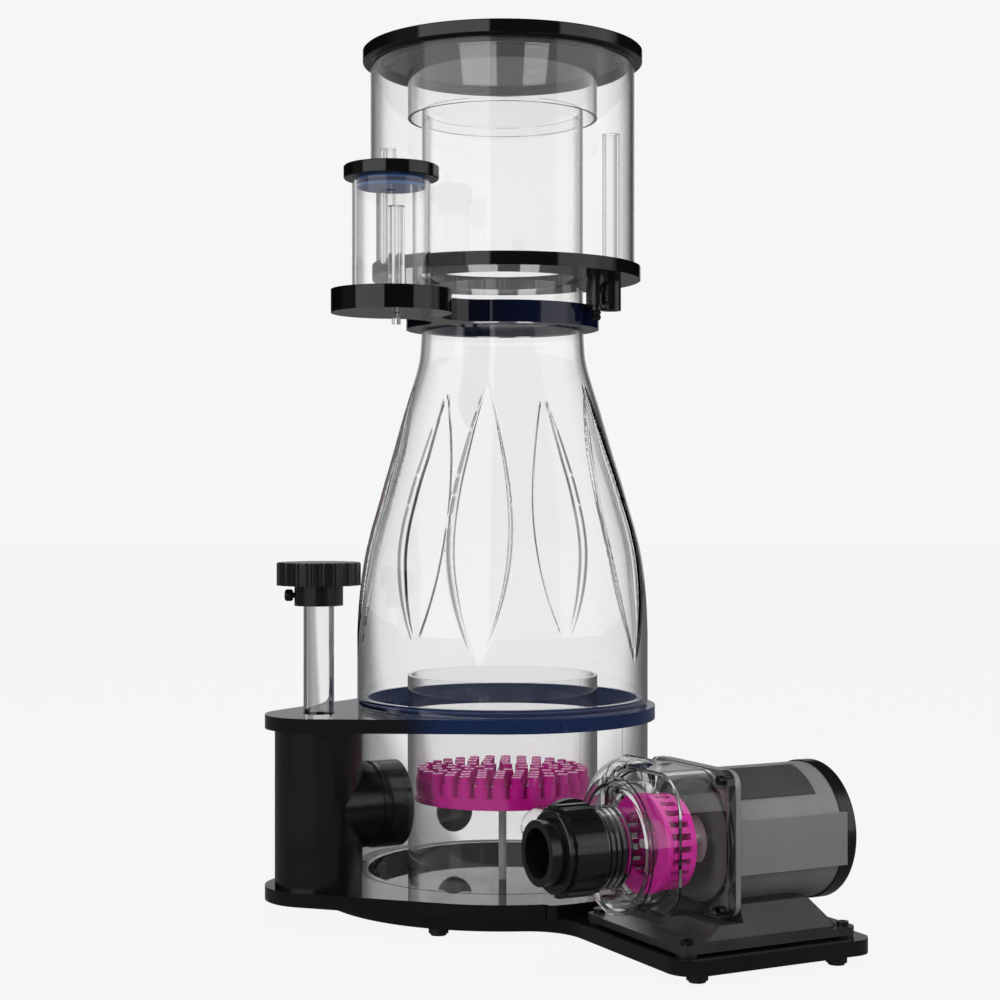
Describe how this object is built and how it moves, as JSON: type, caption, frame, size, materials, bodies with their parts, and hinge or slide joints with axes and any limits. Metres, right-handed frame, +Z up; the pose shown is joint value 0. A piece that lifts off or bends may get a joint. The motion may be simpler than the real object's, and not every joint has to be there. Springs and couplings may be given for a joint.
{
  "type": "protein skimmer",
  "caption": "In-sump protein skimmer: clear conical reaction body over a bubble plate, lift-off foam cup and lid, air silencer, outlet regulator and side-mounted needle-wheel pump.",
  "frame": {"origin": "underside of the centre foot, on the axis of the round body, at floor level", "axes": "+Z up along the body's axis, +X from the outlet riser towards the body and along the pump's shaft, pump on the -Y side"},
  "size_m": [0.3264, 0.4302, 0.644],
  "materials": {
    "black_acrylic": "polished",
    "clear_acrylic": "polished",
    "smoked_acrylic": "polished",
    "magenta_plastic": "translucent gloss",
    "navy_seal": "smooth",
    "black_rubber": "matte",
    "black_pvc": "satin",
    "grey_rod": "satin",
    "pedestal_grey": "satin",
    "motor_grey": "satin",
    "label_grey": "matte",
    "dark_steel": "blackened",
    "stator_epoxy": "matte",
    "ceramic": "polished",
    "magnet": "satin"
  },
  "bodies": {
    "base": {"lower_base_plate": "black_acrylic", "base_feet": "black_rubber", "upper_base_plate": "black_acrylic", "tank_tube": "clear_acrylic", "inner_tube": "clear_acrylic", "support_rod": "grey_rod", "bubble_plate": "magenta_plastic", "ring_plate": "black_acrylic", "body_seal_ring": "navy_seal", "riser_pipe": "black_pvc", "outlet_pipe": "black_pvc", "rear_port_bushing": "black_pvc", "pump_base": "pedestal_grey", "pump_pads": "black_rubber", "pump_base_screws": "dark_steel", "motor_housing": "motor_grey", "motor_end_cap": "black_pvc", "cable_gland": "black_pvc", "label_plate": "label_grey", "stator": "stator_epoxy", "stator_can": "stator_epoxy", "shaft_bearings": "ceramic", "volute_housing": "smoked_acrylic", "volute_neck": "smoked_acrylic", "volute_seal": "black_rubber", "volute_screws": "dark_steel", "inlet_stub": "black_pvc", "union_seal": "black_rubber", "discharge_pipe": "clear_acrylic", "tank_inlet_flange": "black_pvc"},
    "regulator": {"regulator_sleeve": "black_pvc", "regulator_tube": "clear_acrylic", "regulator_knob": "black_pvc"},
    "thumb_screw": {"knob_thumb_screw": "black_pvc"},
    "port_plug": {"rear_port_plug": "black_pvc"},
    "tower": {"body_dome": "clear_acrylic", "collar_plate": "black_acrylic", "collar_seal": "navy_seal", "silencer_tube": "clear_acrylic", "silencer_outlet_tube": "clear_acrylic"},
    "silencer_cap": {"silencer_lid": "black_acrylic", "silencer_seal": "navy_seal", "silencer_inlet_tube": "clear_acrylic"},
    "cup": {"cup_floor": "black_acrylic", "cup_neck_tube": "clear_acrylic", "cup_wall": "clear_acrylic", "cup_standpipe": "clear_acrylic", "standpipe_nut": "black_pvc", "drain_valve": "black_pvc", "drain_barb": "black_pvc"},
    "drain_tap": {"drain_lever": "black_pvc"},
    "lid": {"cup_lid": "black_acrylic", "lid_deflector": "clear_acrylic", "lid_gasket": "black_rubber"},
    "rotor": {"impeller": "magenta_plastic", "impeller_shaft": "ceramic", "rotor_magnet": "magnet"},
    "union": {"union_nut": "black_pvc"}
  },
  "joints": [
    {"name": "regulator_turn", "type": "hinge", "parent": "base", "child": "regulator", "pos_m": [-0.15, 0, 0.15], "axis": [0, 0, 1], "range_deg": [0, 90]},
    {"name": "thumb_screw_turn", "type": "hinge", "parent": "regulator", "child": "thumb_screw", "pos_m": [-0.15, 0, 0.23505], "axis": [-0.887, 0.4617, 0], "continuous": true},
    {"name": "port_plug_pull", "type": "slide", "parent": "base", "child": "port_plug", "axis": [0.0958, 0.9954, 0], "range_m": [0, 0.03]},
    {"name": "body_lift", "type": "slide", "parent": "base", "child": "tower", "axis": [0, 0, 1], "range_m": [0, 0.1]},
    {"name": "silencer_cap_lift", "type": "slide", "parent": "tower", "child": "silencer_cap", "axis": [0, 0, 1], "range_m": [0, 0.06]},
    {"name": "cup_lift", "type": "slide", "parent": "tower", "child": "cup", "axis": [0, 0, 1], "range_m": [0, 0.1]},
    {"name": "drain_tap_turn", "type": "hinge", "parent": "cup", "child": "drain_tap", "pos_m": [0.0401, -0.072, 0.459], "axis": [0.4866, -0.8736, 0], "range_deg": [0, 90]},
    {"name": "lid_lift", "type": "slide", "parent": "cup", "child": "lid", "axis": [0, 0, 1], "range_m": [0, 0.06]},
    {"name": "rotor_spin", "type": "hinge", "parent": "base", "child": "rotor", "pos_m": [0, -0.2204, 0.0785], "axis": [1, 0, 0], "continuous": true},
    {"name": "union_nut_turn", "type": "hinge", "parent": "base", "child": "union", "pos_m": [-0.07, -0.2204, 0.0785], "axis": [1, 0, 0], "continuous": true}
  ]
}
